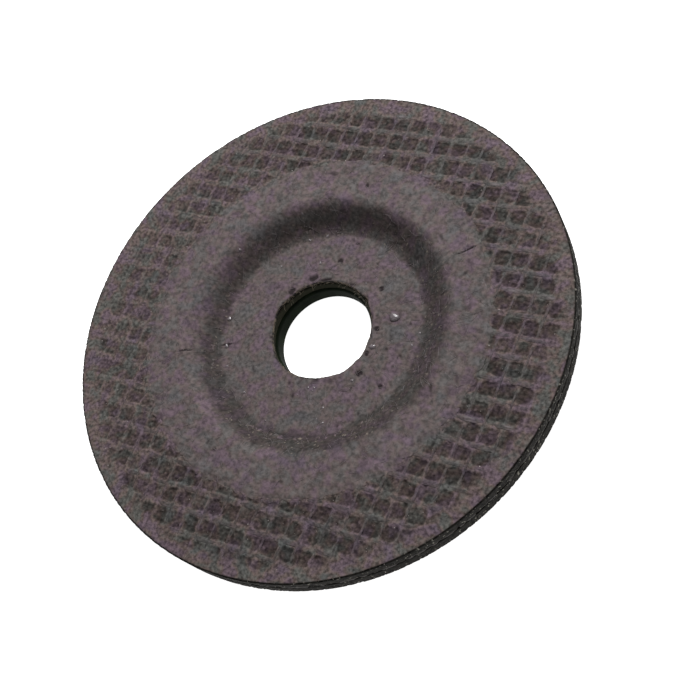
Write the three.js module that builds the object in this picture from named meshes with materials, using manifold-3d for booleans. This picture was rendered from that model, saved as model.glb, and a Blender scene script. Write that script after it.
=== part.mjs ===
// Depressed-centre grinding wheel for an angle grinder (ISO type 27), 115 x 6 x 22.23 mm.
//
// A stack of separate dished layers around a steel arbor ring, as they are laid into the press mould:
// facing, glass mesh, abrasive, glass mesh, abrasive, hub reinforcement, glass mesh, blotter.
//
// Millimetres, +Z up along the wheel's axis. The origin is the centre of the bore on the rear hub
// face, which the wheel lies on. The hollow working side faces up.

import * as THREE from "three";
import { mergeVertices } from "three/addons/utils/BufferGeometryUtils.js";
import Module from "manifold-3d";

// Driving dimensions of the wheel.
const WHEEL_RADIUS = 57.5;
const THICKNESS = 6;
const BORE_RADIUS = 22.23 / 2;
const HUB_OFFSET = 4.6; // how far the rim lies in front of the hub
const HUB_FLAT_RADIUS = 23.5; // the flat that the clamping flange and nut sit on
const SLOPE_END_RADIUS = 31.7; // where the dished wall reaches the flat rim

// Layers.
const BOND = 0.02; // resin film between two neighbours
const SHEET_STEEL = 0.4;
const MESH = 0.48; // one layer of resin-coated glass mesh
const FACING = 0.25;
const BLOTTER = SHEET_STEEL; // pressed flush with the arbor ring's flange
const FACING_RADIUS = 40.5;
const BLOTTER_RADIUS = 40.5;
const REINFORCEMENT_RADIUS = 38;
const MESH_RADIUS = 56; // the outer meshes stop short of the rim
const MESH_STEP = 0.48; // width of the bend where an outer mesh dips under a facing
const FLANGE_RADIUS = 17;
const SLEEVE_BACKSET = 2; // the sleeve ends this far below the front face
const FACING_BORE_RADIUS = 12; // the facing is punched wider than the sleeve
const MOUTH_RADIUS = 11.9; // the front mesh and the chamfer below it

// Weave of the outer meshes: the open cells between their rovings.
const PITCH_WEFT = 3.91; // between the rovings that run nearly along Y
const PITCH_WARP = 4.77; // between the rovings that run along X
const WEFT_LEAN = THREE.MathUtils.degToRad(3.05); // how far the weft leans from square
const WEFT_WIDTH = 0.7; // a weft roving is drawn tight
const WARP_WIDTH = 1.45; // a warp roving spreads flat
const FRONT_WEAVE_PHASE = [-1.21, 0.8]; // where one weft and one warp roving cross, near the centre
const REAR_WEAVE_PHASE = [2.1, 1.7];
const OPEN_FROM_RADIUS = 41.4;
const OPEN_TO_RADIUS = 54.2; // beyond this the cells are filled flush with resin and grit

// Facets.
const TURN_SEGMENTS = 40;
const SLOPE_SPANS = 3;

// Heights in the flat stack, counted from the rear hub face, before it is dished.
const STACK_BORE = BORE_RADIUS + SHEET_STEEL + BOND;
const REAR_MESH_LOW = BLOTTER + BOND;
const REAR_MESH_HIGH = REAR_MESH_LOW + MESH;
const REINFORCEMENT_LOW = REAR_MESH_HIGH + BOND;
const REINFORCEMENT_HIGH = REINFORCEMENT_LOW + MESH;
const FRONT_MESH_HIGH = THICKNESS - FACING - BOND;
const FRONT_MESH_LOW = FRONT_MESH_HIGH - MESH;
const MIDDLE_MESH_LOW = (REINFORCEMENT_HIGH + FRONT_MESH_LOW - MESH) / 2;
const MIDDLE_MESH_HIGH = MIDDLE_MESH_LOW + MESH;
const SLEEVE_END = THICKNESS - SLEEVE_BACKSET;

const wasm = await Module();
wasm.setup();

// Height that the press gives a point of the flat stack: none on the hub, HUB_OFFSET on the rim,
// and a smooth S between them.
function dish(radius) {
  const share = (radius - HUB_FLAT_RADIUS) / (SLOPE_END_RADIUS - HUB_FLAT_RADIUS);
  return (HUB_OFFSET * (1 - Math.cos(Math.PI * THREE.MathUtils.clamp(share, 0, 1)))) / 2;
}

// Radii where the dished wall changes slope.
const SLOPE_STATIONS = Array.from(
  { length: SLOPE_SPANS + 1 },
  (_, i) => HUB_FLAT_RADIUS + ((SLOPE_END_RADIUS - HUB_FLAT_RADIUS) * i) / SLOPE_SPANS,
);

// The slope stations that one side of a flat outline passes, in the order it passes them.
function stationsBetween(from, to) {
  const passed = SLOPE_STATIONS.filter((r) => r > Math.min(from, to) && r < Math.max(from, to));
  return from < to ? passed : passed.reverse();
}

// Turns a closed outline of [radius, height] in the flat stack into a dished solid of revolution.
// The outline runs counter-clockwise, with radius to the right and height up.
function dishedSolid(outline) {
  const points = [];
  outline.forEach(([radius, height], i) => {
    const [nextRadius, nextHeight] = outline[(i + 1) % outline.length];
    points.push(new THREE.Vector2(radius, height + dish(radius)));
    for (const r of stationsBetween(radius, nextRadius)) {
      const share = (r - radius) / (nextRadius - radius);
      points.push(new THREE.Vector2(r, THREE.MathUtils.lerp(height, nextHeight, share) + dish(r)));
    }
  });
  points.push(points[0].clone());
  return new THREE.LatheGeometry(points, TURN_SEGMENTS).rotateX(Math.PI / 2);
}

// A closed geometry as a manifold-3d solid.
function toManifold(geometry) {
  const bare = geometry.clone();
  bare.deleteAttribute("normal");
  bare.deleteAttribute("uv");
  const merged = mergeVertices(bare, 1e-4);
  return new wasm.Manifold(
    new wasm.Mesh({
      numProp: 3,
      vertProperties: new Float32Array(merged.attributes.position.array),
      triVerts: new Uint32Array(merged.index.array),
    }),
  );
}

function toGeometry(solid) {
  const { vertProperties, triVerts, numProp } = solid.getMesh();
  const geometry = new THREE.BufferGeometry();
  geometry.setAttribute("position", new THREE.BufferAttribute(vertProperties.slice(), numProp));
  geometry.setIndex(new THREE.BufferAttribute(triVerts.slice(), 1));
  geometry.computeVertexNormals();
  return geometry;
}

// One open cell of the weave around [x, y]: a prism whose weft sides lean.
function weaveCell(x, y, low, depth) {
  const halfX = (PITCH_WEFT - WEFT_WIDTH) / 2;
  const halfY = (PITCH_WARP - WARP_WIDTH) / 2;
  const shift = halfY * Math.tan(WEFT_LEAN);
  const outline = new THREE.Shape([
    new THREE.Vector2(x - halfX - shift, y - halfY),
    new THREE.Vector2(x + halfX - shift, y - halfY),
    new THREE.Vector2(x + halfX + shift, y + halfY),
    new THREE.Vector2(x - halfX + shift, y + halfY),
  ]);
  const prism = new THREE.ExtrudeGeometry(outline, { depth, bevelEnabled: false });
  return prism.translate(0, 0, low);
}

// Opens the cells of the weave through a mesh layer whose rim lies between two heights.
function openCells(layer, low, high, [phaseX, phaseY]) {
  const margin = 1;
  const depth = high - low + 2 * margin;
  const cellReach = Math.hypot(PITCH_WEFT - WEFT_WIDTH, PITCH_WARP - WARP_WIDTH) / 2;
  const rows = Math.ceil(OPEN_TO_RADIUS / PITCH_WARP) + 1;
  const columns = Math.ceil(OPEN_TO_RADIUS / PITCH_WEFT) + 1;
  let cells = null;
  for (let row = -rows; row <= rows; row++) {
    const y = phaseY + (row + 0.5) * PITCH_WARP;
    for (let column = -columns; column <= columns; column++) {
      const straight = phaseX + (column + 0.5) * PITCH_WEFT;
      const x = straight / Math.cos(WEFT_LEAN) + y * Math.tan(WEFT_LEAN);
      const radius = Math.hypot(x, y);
      if (radius - cellReach < OPEN_FROM_RADIUS || radius + cellReach > OPEN_TO_RADIUS) continue;
      const cell = toManifold(weaveCell(x, y, low - margin, depth));
      cells = cells ? cells.add(cell) : cell;
    }
  }
  return toGeometry(toManifold(layer).subtract(cells));
}

// Sheet layer between two radii and two heights.
function sheet(inner, outer, low, high) {
  return dishedSolid([
    [inner, low],
    [outer, low],
    [outer, high],
    [inner, high],
  ]);
}

function frontHubFacing() {
  return sheet(FACING_BORE_RADIUS, FACING_RADIUS, THICKNESS - FACING, THICKNESS);
}

// The front mesh lies flush with the front face on the rim, and dips under the facing.
function frontMesh() {
  const dipOuter = FACING_RADIUS + BOND;
  const rimLow = THICKNESS - MESH;
  const layer = dishedSolid([
    [MOUTH_RADIUS, FRONT_MESH_LOW],
    [dipOuter + MESH_STEP, FRONT_MESH_LOW],
    [dipOuter + MESH_STEP, rimLow],
    [MESH_RADIUS, rimLow],
    [MESH_RADIUS, THICKNESS],
    [dipOuter, THICKNESS],
    [dipOuter, FRONT_MESH_HIGH],
    [MOUTH_RADIUS, FRONT_MESH_HIGH],
  ]);
  return openCells(layer, rimLow + HUB_OFFSET, THICKNESS + HUB_OFFSET, FRONT_WEAVE_PHASE);
}

// The front abrasive holds the front mesh in a shallow tray, with a lip at the rim. Its bore opens in
// a chamfer above the sleeve.
function frontAbrasive() {
  const low = MIDDLE_MESH_HIGH + BOND;
  const step = FACING_RADIUS + MESH_STEP + 2 * BOND;
  const rimHigh = THICKNESS - MESH - BOND;
  return dishedSolid([
    [STACK_BORE, low],
    [WHEEL_RADIUS, low],
    [WHEEL_RADIUS, THICKNESS],
    [MESH_RADIUS + BOND, THICKNESS],
    [MESH_RADIUS + BOND, rimHigh],
    [step, rimHigh],
    [step, FRONT_MESH_LOW - BOND],
    [MOUTH_RADIUS, FRONT_MESH_LOW - BOND],
    [STACK_BORE, SLEEVE_END],
  ]);
}

function middleMesh() {
  return sheet(STACK_BORE, WHEEL_RADIUS, MIDDLE_MESH_LOW, MIDDLE_MESH_HIGH);
}

// The rear abrasive lies over the hub reinforcement and the rear mesh, with a lip at the rim.
function rearAbrasive() {
  const high = MIDDLE_MESH_LOW - BOND;
  const step = BLOTTER_RADIUS + MESH_STEP + 2 * BOND;
  const hubLow = REINFORCEMENT_HIGH + BOND;
  const shoulder = REINFORCEMENT_RADIUS + BOND;
  return dishedSolid([
    [STACK_BORE, hubLow],
    [shoulder, hubLow],
    [shoulder, REINFORCEMENT_LOW],
    [step, REINFORCEMENT_LOW],
    [step, MESH + BOND],
    [MESH_RADIUS + BOND, MESH + BOND],
    [MESH_RADIUS + BOND, 0],
    [WHEEL_RADIUS, 0],
    [WHEEL_RADIUS, high],
    [STACK_BORE, high],
  ]);
}

function hubReinforcement() {
  return sheet(STACK_BORE, REINFORCEMENT_RADIUS, REINFORCEMENT_LOW, REINFORCEMENT_HIGH);
}

// The rear mesh mirrors the front one: flush with the rear face on the rim, under the blotter inside.
function rearMesh() {
  const dipOuter = BLOTTER_RADIUS + BOND;
  const layer = dishedSolid([
    [STACK_BORE, REAR_MESH_LOW],
    [dipOuter, REAR_MESH_LOW],
    [dipOuter, 0],
    [MESH_RADIUS, 0],
    [MESH_RADIUS, MESH],
    [dipOuter + MESH_STEP, MESH],
    [dipOuter + MESH_STEP, REAR_MESH_HIGH],
    [STACK_BORE, REAR_MESH_HIGH],
  ]);
  return openCells(layer, HUB_OFFSET, MESH + HUB_OFFSET, REAR_WEAVE_PHASE);
}

function rearBlotter() {
  return sheet(FLANGE_RADIUS + BOND, BLOTTER_RADIUS, 0, BLOTTER);
}

// Steel ring pressed into the bore from behind: a flange on the rear face and a sleeve through the hub.
function arborRing() {
  const sleeve = BORE_RADIUS + SHEET_STEEL;
  return dishedSolid([
    [BORE_RADIUS, 0],
    [FLANGE_RADIUS, 0],
    [FLANGE_RADIUS, SHEET_STEEL],
    [sleeve, SHEET_STEEL],
    [sleeve, SLEEVE_END],
    [BORE_RADIUS, SLEEVE_END],
  ]);
}

const FINISHES = {
  facing: { color: 0x5f5657, roughness: 0.95, metalness: 0 },
  mesh: { color: 0x6a6160, roughness: 0.8, metalness: 0 },
  abrasive: { color: 0x3c3735, roughness: 0.95, metalness: 0 },
  blotter: { color: 0x4a4644, roughness: 0.9, metalness: 0 },
  darkSteel: { color: 0x2b302c, roughness: 0.45, metalness: 0.9 },
};

const PIECES = [
  ["front_hub_facing", frontHubFacing, FINISHES.facing],
  ["front_mesh", frontMesh, FINISHES.mesh],
  ["abrasive_layer_front", frontAbrasive, FINISHES.abrasive],
  ["middle_mesh", middleMesh, FINISHES.mesh],
  ["abrasive_layer_rear", rearAbrasive, FINISHES.abrasive],
  ["hub_reinforcement", hubReinforcement, FINISHES.mesh],
  ["rear_mesh", rearMesh, FINISHES.mesh],
  ["rear_blotter", rearBlotter, FINISHES.blotter],
  ["arbor_ring", arborRing, FINISHES.darkSteel],
];

const wheel = new THREE.Group();
for (const [name, shape, finish] of PIECES) {
  const piece = new THREE.Mesh(shape(), new THREE.MeshStandardMaterial(finish));
  piece.name = name;
  wheel.add(piece);
}

export default wheel;
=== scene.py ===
"""Looks of a depressed-centre grinding wheel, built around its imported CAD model.

The wheel lies on its rear hub face and shows its hollow working side. Every layer that shows is
rebuilt as a fine mesh on the CAD layer's own outline: fleece facing, woven glass rovings, packed
grain, paper blotter and steel ring. Lengths are in metres, written as a number times MM.
"""

import math

import bpy
import numpy as np
from mathutils import Matrix, Vector


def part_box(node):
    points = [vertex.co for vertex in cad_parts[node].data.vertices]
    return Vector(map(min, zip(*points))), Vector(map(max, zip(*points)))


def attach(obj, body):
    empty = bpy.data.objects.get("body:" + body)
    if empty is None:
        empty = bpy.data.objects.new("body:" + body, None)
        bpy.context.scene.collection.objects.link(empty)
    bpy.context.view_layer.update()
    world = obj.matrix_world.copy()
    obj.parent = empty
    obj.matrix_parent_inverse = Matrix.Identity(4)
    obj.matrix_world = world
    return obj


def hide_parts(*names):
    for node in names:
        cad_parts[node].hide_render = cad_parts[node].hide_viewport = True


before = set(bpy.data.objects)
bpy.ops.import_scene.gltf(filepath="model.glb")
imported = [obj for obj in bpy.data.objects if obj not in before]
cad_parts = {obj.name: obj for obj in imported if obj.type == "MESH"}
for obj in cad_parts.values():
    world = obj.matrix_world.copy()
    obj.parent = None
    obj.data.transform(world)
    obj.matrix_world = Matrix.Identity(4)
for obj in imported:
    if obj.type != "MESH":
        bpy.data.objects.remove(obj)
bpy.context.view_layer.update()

MM = 0.001
TURN = 2 * math.pi
QUARTER_TURN = math.pi / 2

# Sizes that the frame gives.
WHEEL_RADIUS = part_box("abrasive_layer_front")[1].x
MESH_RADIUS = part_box("front_mesh")[1].x
FACING_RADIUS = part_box("front_hub_facing")[1].x
BLOTTER_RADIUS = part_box("rear_blotter")[1].x
FLANGE_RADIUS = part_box("arbor_ring")[1].x
SLEEVE_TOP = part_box("arbor_ring")[1].z
RIM_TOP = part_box("abrasive_layer_front")[1].z

# Sizes that the frame's boxes don't hold.
BORE_RADIUS = 11.115 * MM
FACING_BORE_RADIUS = 12 * MM
MOUTH_RADIUS = 11.9 * MM
HUB_OFFSET = 4.6 * MM
HUB_FLAT_RADIUS = 23.5 * MM
SLOPE_END_RADIUS = 31.7 * MM
SHEET_STEEL = 0.4 * MM
FACING = 0.25 * MM
MESH = 0.48 * MM
BOND = 0.02 * MM

# Heights in the flat stack, before it is dished, counted from the rear hub face.
THICKNESS = RIM_TOP - HUB_OFFSET
MIDDLE_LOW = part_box("middle_mesh")[0].z
MIDDLE_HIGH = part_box("middle_mesh")[1].z - HUB_OFFSET
STACK_BORE = BORE_RADIUS + SHEET_STEEL + BOND

# The outer abrasive layers.
COVER = FACING_RADIUS - 0.6 * MM  # outside this radius the grain comes up to the face
COVER_FOOT = COVER - 0.4 * MM
TRAY = FACING + BOND + MESH + BOND  # depth of the room inside it, for the layers on the grain
EDGE = 0.12 * MM  # bevel of the rim's edges

# Weave of the outer meshes. Each has two families of rovings, and pairs of sizes come in their order.
WARP = 0
WEFT = 1
PITCH_WARP = 4.77 * MM  # between the rovings that run along X
PITCH_WEFT = 3.91 * MM  # between those that run nearly along Y
WEFT_LEAN = math.radians(3.05)
ROVING_WIDTHS = (1.45 * MM, 0.62 * MM)  # the warp is spread flat, the weft is drawn tight
STRAND_SHARES = (0.75, 0.9)  # of those widths, the rest is grit that clings to the sides
ROVING_THICK = 0.18 * MM
ROVING_DEPTH = 0.17 * MM  # from the face down to the middle of a roving
BED_DEPTH = 0.1 * MM  # from the face down to the grit beside a roving
CELL_DEPTH = 0.32 * MM  # from the bed down to the grit in the middle of a clean cell
CRIMP = 0.03 * MM  # how far a roving rises and dips where it crosses another
CORNER_POWER = 6  # of the superellipse that each cell's outline follows, squarer as it grows
CELLS_TO = 53.6 * MM  # grit fills the cells beyond this radius
BORDER_COVER = 0.13 * MM  # of grit over the rovings there
FLOOD_COVER = 0.05 * MM  # of resin over the rovings on the side where most of it flowed
RESIN_SIDE = math.radians(182)  # towards the side where more resin flowed into the cells
RESIN_SHARE = 0.42  # how much of a cell's depth it took there
LONG_WANDER = 0.14 * MM  # how far the rovings stray sideways, in long and in short waves
SHORT_WANDER = 0.06 * MM
LONG_WAVE = 9.5 * MM
SHORT_WAVE = 3.6 * MM
ROVING_STEP = 0.5 * MM  # spacing of a roving's sections
ROVING_SIDES = 12
FRONT_PHASE = (0.8 * MM, -1.21 * MM)  # where the middle rovings of warp and weft lie
REAR_PHASE = (1.7 * MM, 2.1 * MM)

# Wear and flaws, and painted shade on the dished wall.
WORN_FROM = 22.9 * MM  # the facing is rubbed and soiled on the dished wall, and darkened there with painted shade too
WORN_TO = 30.4 * MM
WORN_SHIFT = 0.35 * MM  # how far the darkening's inner edge moves out on its heaviest side
WORN_SPREAD = 2.0 * MM  # how far its outer edge moves out on its wide side
WALL_WEAR = 0.835  # share of the full darkening on the dished wall, the hub and the facing's edge; on the wall it is soiling and painted shade
WALL_WEAR_SWING = 0.18  # painted shade added to it on the side whose wall faces the lamp, and taken off opposite
HUB_WEAR = 0.09
EDGE_WEAR = 0.24
RUB_DEPTH = 0.1 * MM  # worn off between the fleece's crumbs
PRINT_DEPTH = 0.07 * MM  # how far the facing's rim sinks into the weave's cells
WIDE_SIDE = 0.0  # towards the side where the darkening reaches further out
DARK_SIDE = math.radians(283)  # towards the side where it is heaviest: the wall there faces the lamp, and painted shade darkens it
LIP_SIDE = math.radians(245)  # towards the side where the facing was left standing over the bore
LIP = 0.88 * MM  # how far it stands over it
PIT_DEPTH = 0.16 * MM  # of the torn spots in the facing
# The larger resin drops on the hub: (radius, angle, size).
BLISTERS = [
    (17.4 * MM, math.radians(21.5), 1.05 * MM),
    (13.7 * MM, math.radians(355), 0.6 * MM),
    (23.4 * MM, math.radians(184), 0.55 * MM),
    (22.8 * MM, math.radians(201), 0.5 * MM),
    (15.2 * MM, math.radians(321), 0.4 * MM),
]
# Torn spots and cracks in the facing: (radius, angle, half length round the axis, half width).
GASHES = [
    (13.1 * MM, math.radians(143), 0.8 * MM, 0.6 * MM),
    (13.5 * MM, math.radians(118), 1.0 * MM, 0.5 * MM),
    (12.5 * MM, math.radians(105), 1.3 * MM, 0.25 * MM),
    (13.4 * MM, math.radians(13), 0.5 * MM, 0.45 * MM),
    (13.2 * MM, math.radians(347), 0.5 * MM, 0.4 * MM),
    (14.9 * MM, math.radians(329), 0.6 * MM, 0.55 * MM),
    (16.4 * MM, math.radians(49), 0.5 * MM, 0.4 * MM),
    (20.8 * MM, math.radians(333), 0.45 * MM, 0.4 * MM),
    (17.3 * MM, math.radians(95), 0.6 * MM, 0.35 * MM),
    (34.5 * MM, math.radians(89), 0.35 * MM, 0.35 * MM),
    (22.6 * MM, math.radians(200), 0.18 * MM, 1.1 * MM),
    (31.0 * MM, math.radians(204), 0.16 * MM, 1.2 * MM),
    (37.1 * MM, math.radians(38), 0.17 * MM, 1.9 * MM),
]
GOUGE_SIDE = math.radians(200)  # where the painted shadow beside each drop lies, turned from its own angle
DROP_SUNK = 0.06 * MM  # a drop's base lies this far below the face
DROP_HEIGHT = 0.55  # of its size
DROP_RINGS = 5
DROP_SIDES = 12
SCATTERED_DROPS = 22
SCATTERED_TEARS = 80
FLEECE_FIBRES = 900
FLEECE_FIBRE_STEPS = 9
BORE_FIBRES = 48

# How finely the layers are turned: steps round the axis, and spacing of points on hidden sides.
ABRASIVE_STEPS = 1440
FACING_STEPS = 1200
BLOTTER_STEPS = 900
RING_STEPS = 360
HIDDEN = 2.4 * MM
FINE = 0.22 * MM  # spacing where the grain shows

# Camera, floor and light.
CAMERA_PLACE = Vector((127.2, -76.2, 224.4)) * MM
CAMERA_AIM = Vector((11.3, -4.5, 10.6)) * MM
CAMERA_ROLL = math.radians(-41.8)
CAMERA_LENS = 61.7
FLOOR_HALF = 2.0  # half of the floor's side
FLOOR_GLOW = 0.97
KEY_AZIMUTH = math.radians(102)
KEY_ELEVATION = math.radians(44)
KEY_DISTANCE = 0.7
KEY_SIZE = 0.3
KEY_POWER = 5.6
SKY_STRENGTH = 0.22


# ---------------------------------------------------------------- repeatable noise

CORNERS = np.array([(i, j, k) for i in (0, 1) for j in (0, 1) for k in (0, 1)])
NEIGHBOURS = np.array([(i, j, k) for i in (-1, 0, 1) for j in (-1, 0, 1) for k in (-1, 0, 1)])


def lattice(cell, seed):
    """Repeatable random numbers from 0 to 1 for whole-number 3-D cells."""
    whole = cell.astype(np.int64)
    code = (whole[..., 0] * 73856093) ^ (whole[..., 1] * 19349663) ^ (whole[..., 2] * 83492791)
    code = code ^ (seed * 40503)
    for _ in range(2):
        code &= 0xFFFFFFFF
        code = (code ^ (code >> 16)) * 0x45D9F3B
    code &= 0xFFFFFFFF
    return ((code ^ (code >> 16)) & 0xFFFFFF) / 0xFFFFFF


def clouds(points, size, seed):
    """Smooth noise from 0 to 1 with features of about that size."""
    scaled = points / size
    cell = np.floor(scaled)
    blend = scaled - cell
    blend = blend * blend * (3 - 2 * blend)
    total = np.zeros(points.shape[:-1])
    for corner in CORNERS:
        weight = np.prod(np.where(corner, blend, 1 - blend), axis=-1)
        total += weight * lattice(cell + corner, seed)
    return total


def grains(points, size, seed):
    """Height from 0 to 1 of a bed of rounded grains of about that size."""
    scaled = points / size
    cell = np.floor(scaled)
    height = np.zeros(points.shape[:-1])
    for step in NEIGHBOURS:
        near = cell + step
        jitter = np.stack([lattice(near, seed + axis) for axis in range(3)], axis=-1)
        radius = 0.45 + 0.4 * lattice(near, seed + 3)
        gap = np.linalg.norm(scaled - near - 0.2 - 0.6 * jitter, axis=-1) / radius
        dome = np.sqrt(np.clip(1 - gap * gap, 0, 1))
        height = np.maximum(height, dome * (0.45 + 0.55 * lattice(near, seed + 4)))
    return height


def ease(value, low, high):
    """0 below low, 1 above high, smooth between."""
    share = np.clip((value - low) / (high - low), 0, 1)
    return share * share * (3 - 2 * share)


# ---------------------------------------------------------------- shapes


def dish(radius):
    """Height that the press gives a point of the flat stack."""
    share = np.clip((radius - HUB_FLAT_RADIUS) / (SLOPE_END_RADIUS - HUB_FLAT_RADIUS), 0, 1)
    return HUB_OFFSET * (1 - np.cos(math.pi * share)) / 2


def from_axis(points):
    """Distance of points from the wheel's axis."""
    return np.hypot(points[..., 0], points[..., 1])


def fine_outline(corners):
    """Points along a closed outline of (radius, height, step): step is the spacing on the next side."""
    points = []
    for i, (radius, height, step) in enumerate(corners):
        next_radius, next_height, _ = corners[(i + 1) % len(corners)]
        length = math.hypot(next_radius - radius, next_height - height)
        count = max(1, round(length / step))
        for k in range(count):
            share = k / count
            point = (radius + share * (next_radius - radius), height + share * (next_height - height))
            points.append(point)
    return np.array(points)


def outline_normals(outline):
    """Outward normals of a closed counter-clockwise outline."""
    along = np.roll(outline, -1, axis=0) - np.roll(outline, 1, axis=0)
    normals = np.stack([along[:, 1], -along[:, 0]], axis=-1)
    return normals / np.linalg.norm(normals, axis=1, keepdims=True)


def turned(outline, turns):
    """(points, normals) of an outline turned about Z, each of shape (turns, outline points, 3)."""
    angle = np.arange(turns) * TURN / turns
    around = np.stack([np.cos(angle), np.sin(angle)], axis=-1)

    def spin(pairs):
        grid = np.empty((turns, len(pairs), 3))
        grid[..., 0] = around[:, :1] * pairs[:, 0]
        grid[..., 1] = around[:, 1:] * pairs[:, 0]
        grid[..., 2] = pairs[:, 1]
        return grid

    return spin(outline), spin(outline_normals(outline))


def ring_faces(turns, count, first=0):
    """Quads of a grid that closes both ways: turns round the axis, count points round the section."""
    i = np.arange(turns)[:, None]
    j = np.arange(count)[None, :]
    here = i * count
    there = ((i + 1) % turns) * count
    after = (j + 1) % count
    quads = np.stack([here + j, there + j, there + after, here + after], axis=-1)
    return quads.reshape(-1, 4) + first


def tube_faces(count, sides, first, turn_over):
    """Quads and both end caps of a tube of count rings of points. turn_over flips all of them."""
    quads = ring_faces(count, sides, first)[: (count - 1) * sides]
    start_cap = list(range(first, first + sides))
    end_cap = list(range(first + (count - 1) * sides, first + count * sides))
    if turn_over:
        return quads[:, ::-1].tolist() + [start_cap, end_cap[::-1]]
    return quads.tolist() + [start_cap[::-1], end_cap]


def add_mesh(name, vertices, faces, material, **attributes):
    """New object from arrays, with one float per vertex for each named attribute."""
    mesh = bpy.data.meshes.new(name)
    mesh.from_pydata(np.asarray(vertices).reshape(-1, 3).tolist(), [], faces)
    for label, values in attributes.items():
        layer = mesh.attributes.new(label, "FLOAT", "POINT")
        layer.data.foreach_set("value", np.asarray(values, dtype=np.float32).ravel())
    mesh.polygons.foreach_set("use_smooth", [True] * len(mesh.polygons))
    mesh.materials.append(material)
    piece = bpy.data.objects.new(name, mesh)
    bpy.context.scene.collection.objects.link(piece)
    return piece


def add_ring(name, points, material, **attributes):
    """New object from a grid of points that closes both ways."""
    return add_mesh(name, points, ring_faces(*points.shape[:2]).tolist(), material, **attributes)


def place(piece, slot, *nodes):
    """Puts a finished piece on the wheel's one body."""
    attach(piece, "root")
    if nodes:
        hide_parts(*nodes)


# ---------------------------------------------------------------- weave


class Weave:
    """Where the rovings of one outer mesh run. side is 1 for the front mesh and -1 for the rear one."""

    def __init__(self, side, phase, seed):
        self.side = side
        self.phase = phase
        self.seed = seed

    def across(self, x, y):
        """(position across the warp rovings, position across the weft rovings)"""
        lean = x * math.cos(WEFT_LEAN) - y * math.sin(WEFT_LEAN)
        return y - self.phase[WARP], lean - self.phase[WEFT]

    def wander(self, number, along, family):
        """How far a roving strays sideways from its straight line."""
        slow = np.sin(along / LONG_WAVE + 2.4 * number + family + self.seed)
        quick = np.sin(along / SHORT_WAVE + 5.1 * number + family)
        return LONG_WANDER * slow + SHORT_WANDER * quick

    def gap(self, x, y):
        """How far a point lies inside its cell, which has round corners, below 0 on the rovings."""
        warp, weft = self.across(x, y)
        warp_number = np.round(warp / PITCH_WARP)
        weft_number = np.round(weft / PITCH_WEFT)
        from_warp = np.abs(warp - warp_number * PITCH_WARP - self.wander(warp_number, x, WARP))
        from_weft = np.abs(weft - weft_number * PITCH_WEFT - self.wander(weft_number, y, WEFT))
        half_height = (PITCH_WARP - ROVING_WIDTHS[WARP]) / 2
        half_width = (PITCH_WEFT - ROVING_WIDTHS[WEFT]) / 2
        up = np.clip((PITCH_WARP / 2 - from_warp) / half_height, 0, None)
        sideways = np.clip((PITCH_WEFT / 2 - from_weft) / half_width, 0, None)
        reach = (up**CORNER_POWER + sideways**CORNER_POWER) ** (1 / CORNER_POWER)
        return half_height * (1 - reach)

    def fill(self, x, y):
        """Random number from 0 to 1 for each cell: how much grit has settled in it."""
        warp, weft = self.across(x, y)
        row = np.floor(warp / PITCH_WARP)
        column = np.floor(weft / PITCH_WEFT)
        cell = np.stack([row, column, np.zeros_like(x)], axis=-1)
        return lattice(cell, self.seed + 60)

    def open_share(self, x, y):
        """1 where the weave's cells are open, 0 under the facing and where grit fills the border."""
        radius = np.hypot(x, y)
        spot = np.stack([x, y, np.full_like(x, self.side)], axis=-1)
        ragged = (clouds(spot, 4 * MM, self.seed) - 0.5) * 2.4 * MM
        inside = ease(radius + 0.5 * ragged, FACING_RADIUS - 0.6 * MM, FACING_RADIUS + 1.0 * MM)
        return inside * (1 - ease(radius + ragged, CELLS_TO - 1.0 * MM, CELLS_TO + 1.4 * MM))

    def clear_share(self, x, y):
        """1 where the cells are clean, less towards the side where more resin flowed into them."""
        lean = (x * math.cos(RESIN_SIDE) + y * math.sin(RESIN_SIDE)) / WHEEL_RADIUS
        return 1 - RESIN_SHARE * ease(lean, 0.15, 0.95)


FRONT_WEAVE = Weave(1, FRONT_PHASE, 3)
REAR_WEAVE = Weave(-1, REAR_PHASE, 8)


def abrasive_depth(points, weave):
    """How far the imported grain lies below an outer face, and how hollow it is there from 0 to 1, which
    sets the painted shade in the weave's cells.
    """
    x = points[..., 0]
    y = points[..., 1]
    coarse = grains(points, 1.05 * MM, weave.seed)
    fine = grains(points, 0.5 * MM, weave.seed + 20)
    soft = (clouds(points, 1.1 * MM, weave.seed + 40) - 0.5) * 0.7 * MM
    gap = weave.gap(x, y) + soft - 0.12 * MM * coarse
    opened = weave.open_share(x, y)
    clear = weave.clear_share(x, y) * (1 - 0.4 * weave.fill(x, y) ** 2)
    cell = ease(gap, -0.26 * MM, 0.36 * MM)
    heap = ease(gap, -0.1 * MM, 0.6 * MM)  # coarse grains stand up most in the middle of a cell
    bed = BED_DEPTH + CELL_DEPTH * cell * clear * (1 - 0.75 * coarse * heap - 0.2 * fine)
    border = 0.04 * MM + 0.08 * MM * (1 - coarse) + 0.05 * MM * (1 - fine)
    depth = opened * bed + (1 - opened) * border
    # Painted shade: darker the deeper the cell, lighter where coarse grains heap up.
    hollow = opened * cell * clear * (1 - 0.55 * coarse * heap - 0.2 * fine)
    return np.maximum(depth, 0), hollow


def rim_pits(points, seed):
    """Depth of the holes that torn-out grains leave in the trued rim, and the same from 0 to 1."""
    coarse = 1 - grains(points, 0.9 * MM, seed)
    fine = 1 - grains(points, 0.45 * MM, seed + 30)
    pit = ease(0.5 * coarse + 0.5 * fine, 0.5, 0.9)
    return 0.12 * MM * pit, pit


def roving_runs(offset, outer, inner):
    """The stretches of a straight line, offset from the centre, that lie between two radii."""
    if abs(offset) >= outer:
        return []
    far = math.sqrt(outer**2 - offset**2)
    if abs(offset) >= inner:
        return [(-far, far)]
    near = math.sqrt(inner**2 - offset**2)
    return [(-far, -near), (near, far)]


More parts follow.
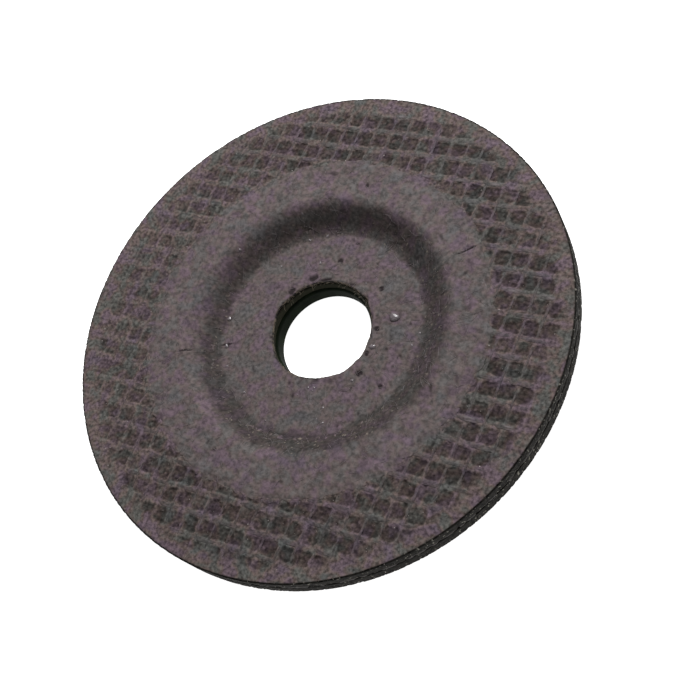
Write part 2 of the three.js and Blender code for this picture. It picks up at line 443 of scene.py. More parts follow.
def roving_cover(weave, x, y):
    """How much deeper a roving lies under the facing, under the border's grit and where resin flowed."""
    radius = np.hypot(x, y)
    shown = ease(radius, FACING_RADIUS - 1.6 * MM, FACING_RADIUS + 0.3 * MM)
    border = ease(radius, CELLS_TO - 1.2 * MM, CELLS_TO + 1.2 * MM)
    flooded = (1 - weave.clear_share(x, y)) / RESIN_SHARE
    return (FACING + BOND) * (1 - shown) + BORDER_COVER * border + FLOOD_COVER * flooded


def roving_points(weave, family, number, start, end, rng):
    """Grid of points of one flattened, crimped roving: (steps, section points, 3), and its pale streaks
    of bare glass and painted sheen.
    """
    steps = max(4, round((end - start) / ROVING_STEP))
    along = np.linspace(start, end, steps)[:, None]
    turn = np.arange(ROVING_SIDES)[None, :] * TURN / ROVING_SIDES
    phase = weave.phase[family]
    pitch = (PITCH_WARP, PITCH_WEFT)[family]
    other_pitch = (PITCH_WEFT, PITCH_WARP)[family]
    other_phase = weave.phase[1 - family]

    swell = 1 + 0.15 * np.sin(along / (5.3 * MM) + 1.9 * number)
    width = STRAND_SHARES[family] * ROVING_WIDTHS[family] * swell
    taper = ease(np.minimum(along - start, end - along), -0.3 * MM, 1.2 * MM)
    side = 0.5 * width * np.sign(np.cos(turn)) * np.abs(np.cos(turn)) ** 0.8
    lobes = 1 + 0.2 * np.cos(5 * turn + 0.6 * np.sin(along / (3.1 * MM) + number))
    rise = 0.5 * ROVING_THICK * lobes * np.sign(np.sin(turn)) * np.abs(np.sin(turn)) ** 0.8

    middle = number * pitch + phase + weave.wander(number, along, family)
    if family == WARP:
        x = along + 0 * turn
        y = middle + side * taper
    else:
        y = along + 0 * turn
        x = (middle + side * taper + y * math.sin(WEFT_LEAN)) / math.cos(WEFT_LEAN)
    swing = np.cos(math.pi * (along - other_phase) / other_pitch) * (-1) ** (number + family)
    depth = ROVING_DEPTH - rise * taper - CRIMP * swing + roving_cover(weave, x, y)
    flat = THICKNESS - depth if weave.side > 0 else depth
    points = np.stack([x, y, flat + dish(np.hypot(x, y))], axis=-1)

    strand = rng.random(ROVING_SIDES)[None, :]
    fibre = np.sin(along / (0.9 * MM) + 9 * strand) * np.sin(along / (2.7 * MM) + 5 * strand + number)
    # Pale streaks on the raised tops of some strands: bare glass fibre, partly painted sheen.
    streak = np.clip(fibre, 0, 1) * (strand > 0.75) * ease(rise, 0.0, 0.12 * MM) * ease(swing, -0.3, 0.9)
    return points, streak


def build_rovings(name, weave, family, material):
    """All the rovings of one direction of an outer mesh, as separate closed strands in one piece."""
    rng = np.random.default_rng(weave.seed * 10 + family)
    pitch = (PITCH_WARP, PITCH_WEFT)[family]
    phase = weave.phase[family]
    reach = int(MESH_RADIUS / pitch) + 1
    turn_over = (family == WARP) == (weave.side > 0)
    vertices = []
    faces = []
    streaks = []
    for number in range(-reach, reach + 1):
        offset = number * pitch + phase
        outer = MESH_RADIUS - (0.3 + 1.2 * rng.random()) * MM
        for start, end in roving_runs(offset, outer, MOUTH_RADIUS + 0.4 * MM):
            if end - start < 1.5 * MM:
                continue
            points, streak = roving_points(weave, family, number, start, end, rng)
            first = sum(len(v) for v in vertices)
            faces += tube_faces(len(points), ROVING_SIDES, first, turn_over)
            vertices.append(points.reshape(-1, 3))
            streaks.append(streak.ravel())
    return add_mesh(name, np.concatenate(vertices), faces, material, streak=np.concatenate(streaks))


# ---------------------------------------------------------------- materials


def srgb(red, green, blue):
    """Linear colour of an 8-bit screen colour."""

    def linear(level):
        share = level / 255
        return share / 12.92 if share <= 0.04045 else ((share + 0.055) / 1.055) ** 2.4

    return linear(red), linear(green), linear(blue), 1.0


WHITE = (1, 1, 1, 1)
BLACK = (0, 0, 0, 1)


def grey(level):
    """Linear grey. A colour that is multiplied by it keeps that share of its light."""
    return level, level, level, 1


class Finish:
    """A node material with small helpers for its noise, ramps, mixes and bump."""

    def __init__(self, name, roughness, specular):
        self.material = bpy.data.materials.new(name)
        self.material.use_nodes = True
        self.tree = self.material.node_tree
        self.shader = self.tree.nodes["Principled BSDF"]
        self.shader.inputs["Roughness"].default_value = roughness
        self.shader.inputs["Specular IOR Level"].default_value = specular
        self.coordinates = self.node("ShaderNodeTexCoord").outputs["Object"]

    def node(self, kind):
        return self.tree.nodes.new(kind)

    def link(self, source, target):
        self.tree.links.new(source, target)

    def noise(self, size, detail=3.0, stretch=None):
        """Noise from 0 to 1 with features of that size in metres."""
        texture = self.node("ShaderNodeTexNoise")
        texture.inputs["Scale"].default_value = 1 / size
        texture.inputs["Detail"].default_value = detail
        source = self.coordinates
        if stretch:
            mapping = self.node("ShaderNodeMapping")
            mapping.inputs["Scale"].default_value = stretch
            self.link(source, mapping.inputs["Vector"])
            source = mapping.outputs["Vector"]
        self.link(source, texture.inputs["Vector"])
        return texture.outputs["Fac"]

    def attribute(self, name):
        source = self.node("ShaderNodeAttribute")
        source.attribute_name = name
        return source.outputs["Fac"]

    def ramp(self, factor, *stops):
        """Colour ramp of (position, colour) stops."""
        ramp = self.node("ShaderNodeValToRGB")
        elements = ramp.color_ramp.elements
        while len(elements) < len(stops):
            elements.new(0.5)
        for element, (position, colour) in zip(elements, stops):
            element.position = position
            element.color = colour
        self.link(factor, ramp.inputs["Fac"])
        return ramp.outputs["Color"]

    def mix(self, factor, first, second, mode="MIX"):
        """Mixes two colours, each a socket or a plain colour."""
        mix = self.node("ShaderNodeMix")
        mix.data_type = "RGBA"
        mix.blend_type = mode
        for value, socket in ((factor, mix.inputs[0]), (first, mix.inputs[6]), (second, mix.inputs[7])):
            if isinstance(value, bpy.types.NodeSocket):
                self.link(value, socket)
            else:
                socket.default_value = value
        return mix.outputs[2]

    def bump(self, height, distance, strength=1.0, under=None):
        bump = self.node("ShaderNodeBump")
        bump.inputs["Distance"].default_value = distance
        bump.inputs["Strength"].default_value = strength
        self.link(height, bump.inputs["Height"])
        if under:
            self.link(under, bump.inputs["Normal"])
        return bump.outputs["Normal"]

    def done(self, colour, normal=None):
        self.link(colour, self.shader.inputs["Base Color"])
        if normal:
            self.link(normal, self.shader.inputs["Normal"])
        return self.material


def mottled(finish, plum, moss, rust, shade, grain):
    """Grey that drifts between a purple, a green and a brown tinge, with dark specks of one grain size.

    shade is the share of the light that the specks keep.
    """
    tinge = finish.ramp(finish.noise(3.6 * MM, 2.0), (0.38, plum), (0.5, rust), (0.62, moss))
    slate = finish.ramp(finish.noise(5.5 * MM, 3.0), (0.5, WHITE), (0.64, (0.92, 0.97, 1.03, 1)))
    speck = finish.ramp(finish.noise(grain, 4.0), (0.34, grey(shade)), (0.64, WHITE))
    patch = finish.ramp(finish.noise(3.0 * MM, 3.0), (0.36, (0.85, 0.84, 0.84, 1)), (0.6, WHITE))
    for shading in (slate, speck, patch):
        tinge = finish.mix(1.0, tinge, shading, "MULTIPLY")
    return tinge


def flecks(finish, size, low, high):
    """0 almost everywhere, 1 on scattered specks of about that size."""
    return finish.ramp(finish.noise(size, 2.0), (low, BLACK), (high, WHITE))


def facing_material():
    finish = Finish("resin_soaked_fleece", 0.85, specular=0.35)
    colour = mottled(
        finish, srgb(117, 99, 109), srgb(108, 103, 102), srgb(114, 101, 99), shade=0.47, grain=0.85 * MM
    )
    worn = finish.attribute("worn")
    # Soiling and painted shade: the dished wall is darkened by multiplying, most on the side that faces
    # the lamp.
    soiled = finish.mix(1.0, colour, (0.24, 0.24, 0.21, 1), "MULTIPLY")
    colour = finish.mix(worn, colour, soiled)
    crumb = finish.mix(1.0, flecks(finish, 0.9 * MM, 0.66, 0.72), worn, "MULTIPLY")
    colour = finish.mix(crumb, colour, srgb(126, 116, 106))
    torn = finish.ramp(finish.noise(0.9 * MM, 3.0), (0.42, srgb(26, 23, 20)), (0.64, srgb(106, 94, 80)))
    colour = finish.mix(finish.attribute("cut"), colour, torn)
    # Torn spots, and the painted shadows beside the listed drops, are darkened here.
    colour = finish.mix(finish.attribute("pit"), colour, srgb(34, 24, 27))
    felt = finish.bump(finish.noise(0.5 * MM, 4.0), 0.07 * MM)
    felt = finish.bump(finish.noise(1.8 * MM, 2.0), 0.16 * MM, 0.6, felt)
    return finish.done(colour, felt)


def roving_material():
    finish = Finish("resin_coated_glass_roving", 0.62, specular=0.25)
    colour = mottled(
        finish, srgb(98, 84, 92), srgb(89, 86, 84), srgb(96, 84, 82), shade=0.38, grain=0.8 * MM
    )
    # Pale streaks: bare glass fibre, partly painted sheen on the rovings' tops.
    colour = finish.mix(finish.attribute("streak"), colour, srgb(120, 111, 113))
    colour = finish.mix(finish.attribute("cut"), colour, srgb(46, 43, 39))
    rough = finish.bump(finish.noise(0.4 * MM, 4.0), 0.11 * MM)
    return finish.done(colour, rough)


def abrasive_material():
    finish = Finish("resin_bonded_grain", 0.85, specular=0.12)
    grit = mottled(
        finish, srgb(122, 105, 114), srgb(109, 108, 104), srgb(122, 107, 102), shade=0.37, grain=0.75 * MM
    )
    # Painted shade in the weave's cells, multiplied into the grit.
    hollow = finish.ramp(finish.attribute("hollow"), (0.0, WHITE), (0.68, (0.4, 0.385, 0.38, 1)))
    colour = finish.mix(1.0, grit, hollow, "MULTIPLY")
    trued = finish.mix(finish.attribute("pit"), srgb(34, 32, 29), srgb(12, 12, 10))
    # Painted glints: pale flecks on the trued rim.
    trued = finish.mix(flecks(finish, 0.7 * MM, 0.63, 0.7), trued, srgb(122, 119, 110))
    colour = finish.mix(finish.attribute("trued"), colour, trued)
    # Painted glints: scattered near-white specks on the grain.
    colour = finish.mix(flecks(finish, 0.5 * MM, 0.74, 0.79), colour, srgb(190, 182, 178))
    # Painted shade: the bore's mouth is darkened nearly to black.
    colour = finish.mix(finish.attribute("soot"), colour, srgb(43, 43, 32))
    rough = finish.bump(finish.noise(0.4 * MM, 5.0), 0.1 * MM)
    return finish.done(colour, rough)


def blotter_material():
    finish = Finish("unprinted_blotter_paper", 0.9, specular=0.3)
    colour = mottled(
        finish, srgb(84, 80, 80), srgb(80, 80, 77), srgb(83, 79, 75), shade=0.85, grain=1.3 * MM
    )
    pulp = finish.bump(finish.noise(0.25 * MM, 4.0), 0.04 * MM)
    return finish.done(colour, pulp)


def steel_material():
    finish = Finish("darkened_steel", 0.75, specular=0.06)
    # Painted shade: the ring's near-black green stands in for the shade inside the bore.
    colour = finish.ramp(finish.noise(2.5 * MM, 5.0), (0.3, srgb(5, 11, 4)), (0.7, srgb(17, 27, 12)))
    drawn = finish.bump(finish.noise(0.5 * MM, 3.0, (1, 1, 0.12)), 0.02 * MM)
    return finish.done(colour, drawn)


def fibre_material(name, dark, light):
    finish = Finish(name, 0.5, specular=0.5)
    colour = finish.ramp(finish.noise(0.8 * MM, 2.0), (0.35, dark), (0.65, light))
    return finish.done(colour, finish.bump(finish.noise(0.12 * MM, 2.0), 0.01 * MM))


def blister_material():
    finish = Finish("resin_blister", 0.22, specular=0.6)
    colour = finish.ramp(
        finish.noise(0.7 * MM, 2.0), (0.35, srgb(92, 84, 88)), (0.65, srgb(122, 114, 117))
    )
    return finish.done(colour, finish.bump(finish.noise(0.4 * MM, 2.0), 0.08 * MM))


FLEECE = facing_material()
ROVING = roving_material()
ABRASIVE = abrasive_material()
BLOTTER = blotter_material()
STEEL = steel_material()
PALE_FIBRE = fibre_material("torn_glass_fibre", srgb(96, 86, 74), srgb(142, 130, 112))
FLEECE_FIBRE = fibre_material("loose_fleece_fibre", srgb(104, 96, 98), srgb(128, 119, 121))
BLISTER = blister_material()


# ---------------------------------------------------------------- layers


def front_abrasive_corners(low, high):
    """Section of the front layer. Its top steps down under the facing, and its bore widens to a mouth."""
    return [
        (STACK_BORE, low, HIDDEN),
        (WHEEL_RADIUS - EDGE, low, EDGE),
        (WHEEL_RADIUS, low + EDGE, FINE),
        (WHEEL_RADIUS, high - 2 * EDGE, EDGE),
        (WHEEL_RADIUS - 2 * EDGE, high, FINE),
        (COVER, high, FINE),
        (COVER_FOOT, high - TRAY, HIDDEN),
        (MOUTH_RADIUS, high - TRAY, 0.25 * MM),
        (STACK_BORE, SLEEVE_TOP, HIDDEN),
    ]


def rear_abrasive_corners(low, high):
    """Section of the rear layer. Its underside steps up over the rear mesh and the blotter."""
    return [
        (STACK_BORE, low + TRAY, HIDDEN),
        (COVER_FOOT, low + TRAY, FINE),
        (COVER, low, FINE),
        (WHEEL_RADIUS - 2 * EDGE, low, EDGE),
        (WHEEL_RADIUS, low + 2 * EDGE, FINE),
        (WHEEL_RADIUS, high - EDGE, EDGE),
        (WHEEL_RADIUS - EDGE, high, HIDDEN),
        (STACK_BORE, high, HIDDEN),
    ]


def outer_abrasive(name, weave, corners, seed):
    """One abrasive layer. Its outer face holds an outer mesh, and its edge is part of the rim."""
    points, normals = turned(fine_outline(corners), ABRASIVE_STEPS)
    radius = from_axis(points)
    shown_face = ease(radius, COVER - 0.3 * MM, COVER) * ease(normals[..., 2] * weave.side, 0.3, 0.9)
    rim = ease(radius, WHEEL_RADIUS - 4.5 * EDGE, WHEEL_RADIUS - 1.5 * EDGE)
    # Where the bore's mouth gets painted shade.
    mouth = 1 - ease(radius, MOUTH_RADIUS, MOUTH_RADIUS + 0.4 * MM)
    depth, hollow = abrasive_depth(points, weave)
    pit_depth, pit = rim_pits(points, seed)
    drop = depth * shown_face + pit_depth * rim
    points = points - normals * drop[..., None]
    points[..., 2] += dish(from_axis(points))
    hollow = hollow * shown_face
    return add_ring(name, points, ABRASIVE, hollow=hollow, trued=rim, pit=pit * rim, soot=mouth)


def seen_from(x, y, radius, angle, heading):
    """(along, across): places of points relative to a spot, along its heading and to the left of it."""
    dx = x - radius * math.cos(angle)
    dy = y - radius * math.sin(angle)
    along = dx * math.cos(heading) + dy * math.sin(heading)
    across = dy * math.cos(heading) - dx * math.sin(heading)
    return along, across


def small_tears(x, y, rng):
    """Share from 0 to 1 of how deep the scattered torn spots are at each point."""
    share = np.zeros_like(x)
    for _ in range(SCATTERED_TEARS):
        radius = STACK_BORE + 0.6 * MM + 26 * MM * rng.random() ** 2
        angle = TURN * rng.random()
        heading = angle + QUARTER_TURN + rng.normal(0, 0.5)
        width = (0.18 + 0.24 * rng.random()) * MM
        length = width * (1 + 2.5 * rng.random() ** 2)
        along, across = seen_from(x, y, radius, angle, heading)
        hole = np.exp(-((along / length) ** 2) - (across / width) ** 2)
        share = np.maximum(share, (0.4 + 0.6 * rng.random()) * hole)
    return share


def large_tears(x, y):
    """The same for the listed torn spots and cracks, which have steep sides."""
    share = np.zeros_like(x)
    for radius, angle, length, width in GASHES:
        along, inward = seen_from(x, y, radius, angle, heading=angle + QUARTER_TURN)
        along = along / length
        outward = -inward / width + 0.3 * np.sin(3 * along + radius / MM)
        share = np.maximum(share, np.clip(2.4 * np.exp(-(along**4) - outward**2), 0, 1))
    return share


def drop_tears(x, y):
    """The same for a painted shadow beside each listed resin drop: a dark spot, sunk like the torn ones.
    """
    share = np.zeros_like(x)
    for radius, angle, size in BLISTERS:
        along, across = seen_from(x, y, radius, angle, heading=angle + GOUGE_SIDE)
        reach = np.hypot(along - 0.8 * size, across) / (0.55 * size)
        share = np.maximum(share, np.exp(-(reach**2)))
    return share


def wear(x, y, blur):
    """Share from 0 to 1 of how worn and soiled the facing is at each point, with painted shade on the
    dished wall. blur frays the edges.
    """
    radius = np.hypot(x, y)
    wide = (x * math.cos(WIDE_SIDE) + y * math.sin(WIDE_SIDE)) / radius
    dark = (x * math.cos(DARK_SIDE) + y * math.sin(DARK_SIDE)) / radius
    worn_from = WORN_FROM + WORN_SHIFT * dark
    worn_to = WORN_TO + WORN_SPREAD * wide
    # The dished wall: soiling and painted shade, heaviest where the wall faces the lamp.
    wall = ease(radius + blur, worn_from, worn_from + 1.8 * MM) * (WALL_WEAR + WALL_WEAR_SWING * dark)
    wall = wall * (1 - ease(radius + blur, worn_to - 2.4 * MM, worn_to + 0.8 * MM))
    hub = HUB_WEAR * (1 - ease(radius, WORN_FROM, WORN_FROM + 1.0 * MM))
    edge = EDGE_WEAR * ease(radius + blur, FACING_RADIUS - 1.6 * MM, FACING_RADIUS)
    return np.maximum(np.maximum(wall, hub), edge)


def facing_relief(points, weave):
    """(rise, share of wear and painted shade, pit share) of the fleece facing's top."""
    x = points[..., 0]
    y = points[..., 1]
    between_rovings = ease(weave.gap(x, y), -0.2 * MM, 0.5 * MM)
    sunk = PRINT_DEPTH * between_rovings * ease(np.hypot(x, y), SLOPE_END_RADIUS, FACING_RADIUS)
    felt = 0.1 * MM * (clouds(points, 1.5 * MM, seed=41) - 0.5)
    felt = felt + 0.08 * MM * (clouds(points, 0.6 * MM, seed=42) - 0.5)
    blur = 1.2 * MM * (clouds(points, 3 * MM, seed=43) - 0.5)
    worn = wear(x, y, blur)
    crumbs = grains(points, 0.8 * MM, seed=44)
    small = small_tears(x, y, np.random.default_rng(51))
    # Torn spots, and painted shadows beside the listed drops.
    pit = np.maximum(np.maximum(small, large_tears(x, y)), drop_tears(x, y))
    rise = felt - sunk - RUB_DEPTH * worn * (1 - crumbs) - PIT_DEPTH * pit
    return rise, worn * (1 - 0.35 * crumbs), pit


def build_facing():
    """The fleece disc on the working side, punched for the bore, with a thin ragged outer edge."""
    inner = FACING_BORE_RADIUS
    outer = FACING_RADIUS
    low = THICKNESS - FACING
    fine = 0.28 * MM
    outline = fine_outline([
        (inner, THICKNESS - 0.48 * MM, 0.2 * MM),
        (inner + 0.25 * MM, THICKNESS - 0.42 * MM, 0.15 * MM),
        (inner + 0.5 * MM, low, HIDDEN),
        (outer - 1.6 * MM, low, 0.4 * MM),
        (outer, THICKNESS - 0.2 * MM, 0.1 * MM),
        (outer, THICKNESS - 0.1 * MM, 0.15 * MM),
        (outer - 1.5 * MM, THICKNESS, fine),
        (inner + 0.4 * MM, THICKNESS, 0.12 * MM),
        (inner, THICKNESS - 0.14 * MM, 0.12 * MM),
    ])
    points, normals = turned(outline, FACING_STEPS)
    radius = from_axis(points)
    rise, worn, pit = facing_relief(points, FRONT_WEAVE)
    top = ease(normals[..., 2], 0.2, 0.9)
    points[..., 2] += rise * top
    spot = points / radius[..., None] * [1, 1, 0]  # direction only, so noise sizes are in radians
    ragged_out = 1.1 * MM * (clouds(spot, 0.05, seed=61) - 0.5)
    ragged_out = ragged_out + 0.7 * MM * (clouds(spot, 0.017, seed=62) - 0.5)
    ragged_in = (0.5 * clouds(spot, 0.16, seed=63) ** 4 + 0.14 * clouds(spot, 0.04, seed=64)) * MM
    facing_lip = spot[..., 0] * math.cos(LIP_SIDE) + spot[..., 1] * math.sin(LIP_SIDE)
    ragged_in = ragged_in - LIP * ease(facing_lip, 0.15, 0.8)
    near_out = ease(radius, outer - 3.5 * MM, outer)
    near_in = 1 - ease(radius, inner, inner + 1.2 * MM)
    shift = ragged_out * near_out + ragged_in * near_in
    points[..., :2] *= (1 + shift / radius)[..., None]
    points[..., 2] += dish(from_axis(points))
    cut = 1 - ease(radius, inner + 0.06 * MM, inner + 0.36 * MM)
    return add_ring("facing_fleece", points, FLEECE, worn=worn * top, pit=pit * top, cut=cut)


def build_blotter():
    """The paper disc on the rear side, round the flange of the steel ring."""
    inner = FLANGE_RADIUS + BOND
    outline = fine_outline([
        (inner, 0.06 * MM, 0.1 * MM),
        (inner + 0.1 * MM, 0, 0.4 * MM),
        (BLOTTER_RADIUS - 0.15 * MM, 0, 0.15 * MM),
        (BLOTTER_RADIUS, 0.12 * MM, 0.15 * MM),
        (BLOTTER_RADIUS, SHEET_STEEL, HIDDEN),
        (inner, SHEET_STEEL, 0.2 * MM),
    ])
    points, normals = turned(outline, BLOTTER_STEPS)
    x = points[..., 0]
    y = points[..., 1]
    radius = from_axis(points)
    print_through = ease(REAR_WEAVE.gap(x, y), -0.2 * MM, 0.6 * MM)
    dent = 0.09 * MM * print_through * ease(radius, HUB_FLAT_RADIUS, SLOPE_END_RADIUS)
    dent = dent + 0.04 * MM * clouds(points, 1.8 * MM, seed=71)
    points[..., 2] += dent * ease(-normals[..., 2], 0.2, 0.9)
    points[..., 2] += dish(radius)
    return add_ring("blotter_paper", points, BLOTTER)


def build_middle_mesh():
    """The glass mesh between the abrasive layers. Only its cut edge shows, as a line round the rim."""
    outer = WHEEL_RADIUS - 0.05 * MM
    outline = fine_outline([
        (STACK_BORE, MIDDLE_LOW, HIDDEN),
        (outer, MIDDLE_LOW, 0.12 * MM),
        (outer, MIDDLE_HIGH, HIDDEN),
        (STACK_BORE, MIDDLE_HIGH, 0.2 * MM),
    ])
    points, _ = turned(outline, ABRASIVE_STEPS)
    x = points[..., 0]
    y = points[..., 1]
    radius = from_axis(points)
    edge = ease(radius, WHEEL_RADIUS - 0.5 * MM, WHEEL_RADIUS - 0.1 * MM)
    out_of_step = 1.03  # so that its rovings don't repeat the front mesh's
    roving = 1 - ease(FRONT_WEAVE.gap(x * out_of_step, y * out_of_step), -0.1 * MM, 0.2 * MM)
    _, pit = rim_pits(points, seed=83)
    cut = edge * (0.3 * MM * (1 - roving) * (0.4 + 0.6 * pit) + 0.06 * MM * pit)
    points[..., :2] *= (1 - cut / radius)[..., None]
    points[..., 2] += dish(radius)
    pale = roving * (1 - pit)
    return add_ring("middle_mesh_layer", points, ROVING, cut=edge * (1 - 0.3 * pale))


def build_ring():
    """The pressed steel ring: a flange on the rear hub face and a sleeve that lines the bore."""
    sleeve = BORE_RADIUS + SHEET_STEEL
    bend = 0.15 * MM
    outline = fine_outline([
        (BORE_RADIUS + 2 * bend, 0, 0.5 * MM),
        (FLANGE_RADIUS - bend, 0, bend),
        (FLANGE_RADIUS, bend, 0.2 * MM),
        (FLANGE_RADIUS, SHEET_STEEL, 0.8 * MM),
        (sleeve + bend, SHEET_STEEL, bend),
        (sleeve, SHEET_STEEL + bend, 0.4 * MM),
        (sleeve, SLEEVE_TOP, bend),
        (BORE_RADIUS + bend, SLEEVE_TOP - 2 * bend, bend),
        (BORE_RADIUS, SLEEVE_TOP - 4 * bend, 0.4 * MM),
        (BORE_RADIUS, 2 * bend, bend),
    ])
    points, _ = turned(outline, RING_STEPS)
    wave = clouds(points, 4 * MM, seed=91) - 0.5
    points[..., 2] -= 0.16 * MM * wave * ease(points[..., 2], SLEEVE_TOP - 0.8 * MM, SLEEVE_TOP)
    return add_ring("steel_ring", points, STEEL)


# ---------------------------------------------------------------- small details


def fibre_tubes(name, paths, thickness, material, sides):
    """Thin closed tubes along short paths, joined into one piece."""
    vertices = []
    faces = []
    for path in paths:
        path = np.asarray(path)
        first = len(vertices)
        count = len(path)
        along = np.gradient(path, axis=0)
        along /= np.linalg.norm(along, axis=1, keepdims=True)
        side = np.cross(along, (0.3, 0.2, 1.0))  # any direction that no path follows
        side /= np.linalg.norm(side, axis=1, keepdims=True)
        up = np.cross(side, along)
        for k in range(count):
            radius = thickness / 2 * (0.35 + 0.65 * math.sin(math.pi * (k + 0.5) / count))
            for s in range(sides):
                turn = TURN * s / sides
                vertices.append(path[k] + radius * (math.cos(turn) * side[k] + math.sin(turn) * up[k]))
        faces += tube_faces(count, sides, first, True)
    return add_mesh(name, np.array(vertices), faces, material)


def fleece_fibres():
    """Fine fibres that lie on the facing and give its felted look."""
    rng = np.random.default_rng(101)
    paths = []
    for _ in range(FLEECE_FIBRES):
        radius = math.sqrt(rng.uniform((STACK_BORE + 1 * MM) ** 2, (FACING_RADIUS - 1 * MM) ** 2))
        angle = TURN * rng.random()
        heading = TURN * rng.random()
        length = rng.uniform(1.5, 5.0) * MM
        bend = rng.normal(0, 0.35)
        x = radius * math.cos(angle)
        y = radius * math.sin(angle)
        path = []
        for _ in range(FLEECE_FIBRE_STEPS):
            here = math.hypot(x, y)
            if here < STACK_BORE + 0.6 * MM or here > FACING_RADIUS - 0.6 * MM:
                break
            path.append((x, y, THICKNESS + float(dish(here)) - 0.005 * MM))
            x += length / FLEECE_FIBRE_STEPS * math.cos(heading)
            y += length / FLEECE_FIBRE_STEPS * math.sin(heading)
            heading += bend / FLEECE_FIBRE_STEPS + rng.normal(0, 0.12)
        if len(path) > 3:
            paths.append(path)
    return fibre_tubes("fleece_fibres", paths, 0.07 * MM, FLEECE_FIBRE, sides=4)


def bore_fibres():
    """Ends of torn glass fibres around the front edge of the bore."""
    rng = np.random.default_rng(111)
    paths = []
    for _ in range(BORE_FIBRES):
        angle = rng.normal(math.radians(110), 0.8)
        heading = angle + QUARTER_TURN + rng.normal(0, 0.5)
        length = rng.uniform(0.4, 1.5) * MM
        radius = FACING_BORE_RADIUS - rng.uniform(0.0, 0.2) * MM
        height = THICKNESS - rng.uniform(0.05, 0.6) * MM
        path = []
        for k in range(6):
            reach = length * k / 5
            x = radius * math.cos(angle) + reach * math.cos(heading)
            y = radius * math.sin(angle) + reach * math.sin(heading)
            if math.hypot(x, y) < BORE_RADIUS - 0.25 * MM:
                break
            path.append((x, y, height - 0.3 * reach * k / 5))
            heading += rng.normal(0, 0.2)
        if len(path) > 2:
            paths.append(path)
    return fibre_tubes("torn_bore_fibres", paths, 0.06 * MM, PALE_FIBRE, sides=5)


def drop_points(radius, angle, size, stretch, heading):
    """Rings of points of one flattened dome, and its top last."""

    def on_facing(u, v, rise):
        x = radius * math.cos(angle) + u * math.cos(heading) - v * math.sin(heading)
        y = radius * math.sin(angle) + u * math.sin(heading) + v * math.cos(heading)
        return x, y, THICKNESS - DROP_SUNK + float(dish(math.hypot(x, y))) + DROP_HEIGHT * size * rise

    points = []
    for ring in range(DROP_RINGS):
        tilt = QUARTER_TURN * ring / DROP_RINGS
        for side in range(DROP_SIDES):
            turn = TURN * side / DROP_SIDES
            reach = size * math.cos(tilt) * (1 + 0.1 * math.sin(3 * turn + heading))
            u = reach * stretch * math.cos(turn)
            v = reach * math.sin(turn)
            points.append(on_facing(u, v, math.sin(tilt)))
    points.append(on_facing(0, 0, 1))
    return points


def drop_faces(first):
    """Faces of one dome whose points start at that number: sides, top and flat base."""
    faces = []
    top = first + DROP_RINGS * DROP_SIDES
    for ring in range(DROP_RINGS):
        low = first + ring * DROP_SIDES
        high = low + DROP_SIDES
        for side in range(DROP_SIDES):
            after = (side + 1) % DROP_SIDES
            if high < top:
                faces.append((low + side, low + after, high + after, high + side))
            else:
                faces.append((low + side, low + after, top))
    faces.append([first + DROP_SIDES - 1 - side for side in range(DROP_SIDES)])
    return faces


def blisters():
    """Small hard drops of resin on the facing."""
    rng = np.random.default_rng(121)
    vertices = []
    faces = []
    scattered = [
        (rng.uniform(13, 30) * MM, TURN * rng.random(), rng.uniform(0.2, 0.38) * MM)
        for _ in range(SCATTERED_DROPS)
    ]
    for radius, angle, size in BLISTERS + scattered:
        stretch = rng.uniform(0.8, 1.5)
        heading = TURN * rng.random()
        faces += drop_faces(len(vertices))
        vertices += drop_points(radius, angle, size, stretch, heading)
    return add_mesh("resin_blisters", np.array(vertices), faces, BLISTER)


# ---------------------------------------------------------------- stage


def build_floor():
    """A pale floor that glows a little, so that it stays white behind the wheel."""
    corners = [(x * FLOOR_HALF, y * FLOOR_HALF, 0) for x, y in ((-1, -1), (1, -1), (1, 1), (-1, 1))]
    finish = Finish("pale_floor", 0.8, specular=0.2)
    tone = finish.ramp(finish.noise(0.6, 2.0), (0.0, grey(0.9)), (1.0, grey(0.93)))
    material = finish.done(tone)
    finish.shader.inputs["Emission Color"].default_value = WHITE
    finish.shader.inputs["Emission Strength"].default_value = FLOOR_GLOW
    floor = add_mesh("floor", np.array(corners), [(0, 1, 2, 3)], material)


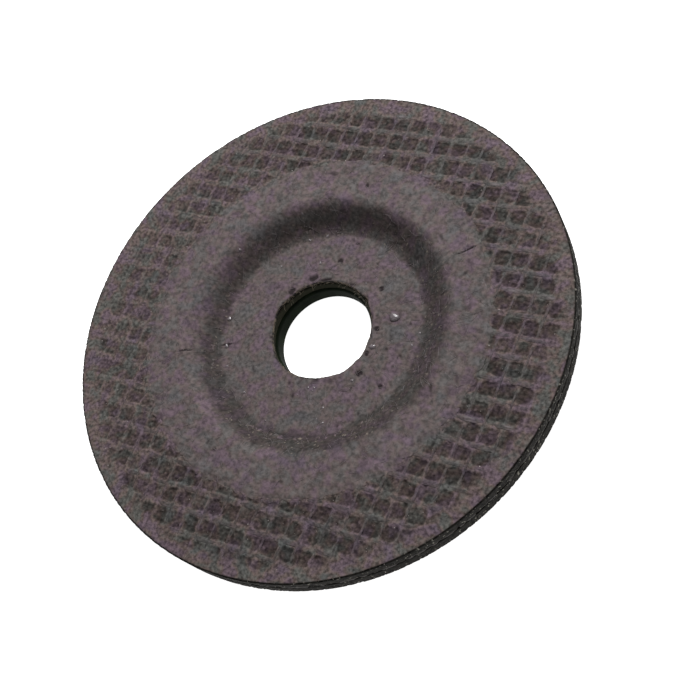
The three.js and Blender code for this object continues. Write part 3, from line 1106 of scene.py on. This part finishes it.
def build_light():
    """Soft white surroundings and one square lamp."""
    world = bpy.data.worlds.new("studio")
    world.use_nodes = True
    sky = world.node_tree.nodes["Background"]
    sky.inputs["Color"].default_value = WHITE
    sky.inputs["Strength"].default_value = SKY_STRENGTH
    bpy.context.scene.world = world
    lamp = bpy.data.lights.new("key", "AREA")
    lamp.size = KEY_SIZE
    lamp.energy = KEY_POWER
    key = bpy.data.objects.new("key", lamp)
    level = math.cos(KEY_ELEVATION)
    height = math.sin(KEY_ELEVATION)
    toward = Vector((level * math.cos(KEY_AZIMUTH), level * math.sin(KEY_AZIMUTH), height))
    key.location = KEY_DISTANCE * toward
    key.rotation_euler = toward.to_track_quat("Z", "Y").to_euler()
    bpy.context.scene.collection.objects.link(key)


def build_camera():
    """A camera above the working side, rolled about its line of sight."""
    camera = bpy.data.objects.new("camera", bpy.data.cameras.new("camera"))
    camera.data.lens = CAMERA_LENS
    camera.data.clip_start = 0.01
    aim = (CAMERA_AIM - CAMERA_PLACE).to_track_quat("-Z", "Y").to_matrix()
    roll = Matrix.Rotation(CAMERA_ROLL, 3, "Z")
    camera.matrix_world = Matrix.LocRotScale(CAMERA_PLACE, (aim @ roll).to_quaternion(), None)
    bpy.context.scene.collection.objects.link(camera)
    bpy.context.scene.camera = camera


build_camera()
build_light()
build_floor()
bpy.context.scene.view_settings.view_transform = "Standard"

place(build_facing(), "facing_fleece", "front_hub_facing")
place(build_rovings("front_warp_rovings", FRONT_WEAVE, WARP, ROVING), "glass_mesh", "front_mesh")
place(build_rovings("front_weft_rovings", FRONT_WEAVE, WEFT, ROVING), "glass_mesh", "front_mesh")
corners = front_abrasive_corners(MIDDLE_HIGH + BOND, THICKNESS)
place(outer_abrasive("front_grain", FRONT_WEAVE, corners, 131), "abrasive", "abrasive_layer_front")
place(build_middle_mesh(), "glass_mesh", "middle_mesh")
corners = rear_abrasive_corners(0.0, MIDDLE_LOW - BOND)
place(outer_abrasive("rear_grain", REAR_WEAVE, corners, 141), "abrasive", "abrasive_layer_rear")
place(build_rovings("rear_warp_rovings", REAR_WEAVE, WARP, ROVING), "glass_mesh", "rear_mesh")
place(build_rovings("rear_weft_rovings", REAR_WEAVE, WEFT, ROVING), "glass_mesh", "rear_mesh")
place(build_blotter(), "blotter_paper", "rear_blotter")
place(build_ring(), "dark_steel", "arbor_ring")
place(fleece_fibres(), "facing_fleece")
place(bore_fibres(), "glass_mesh")
place(blisters(), "facing_fleece")

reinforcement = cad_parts["hub_reinforcement"]
reinforcement.data.materials.clear()
reinforcement.data.materials.append(ROVING)
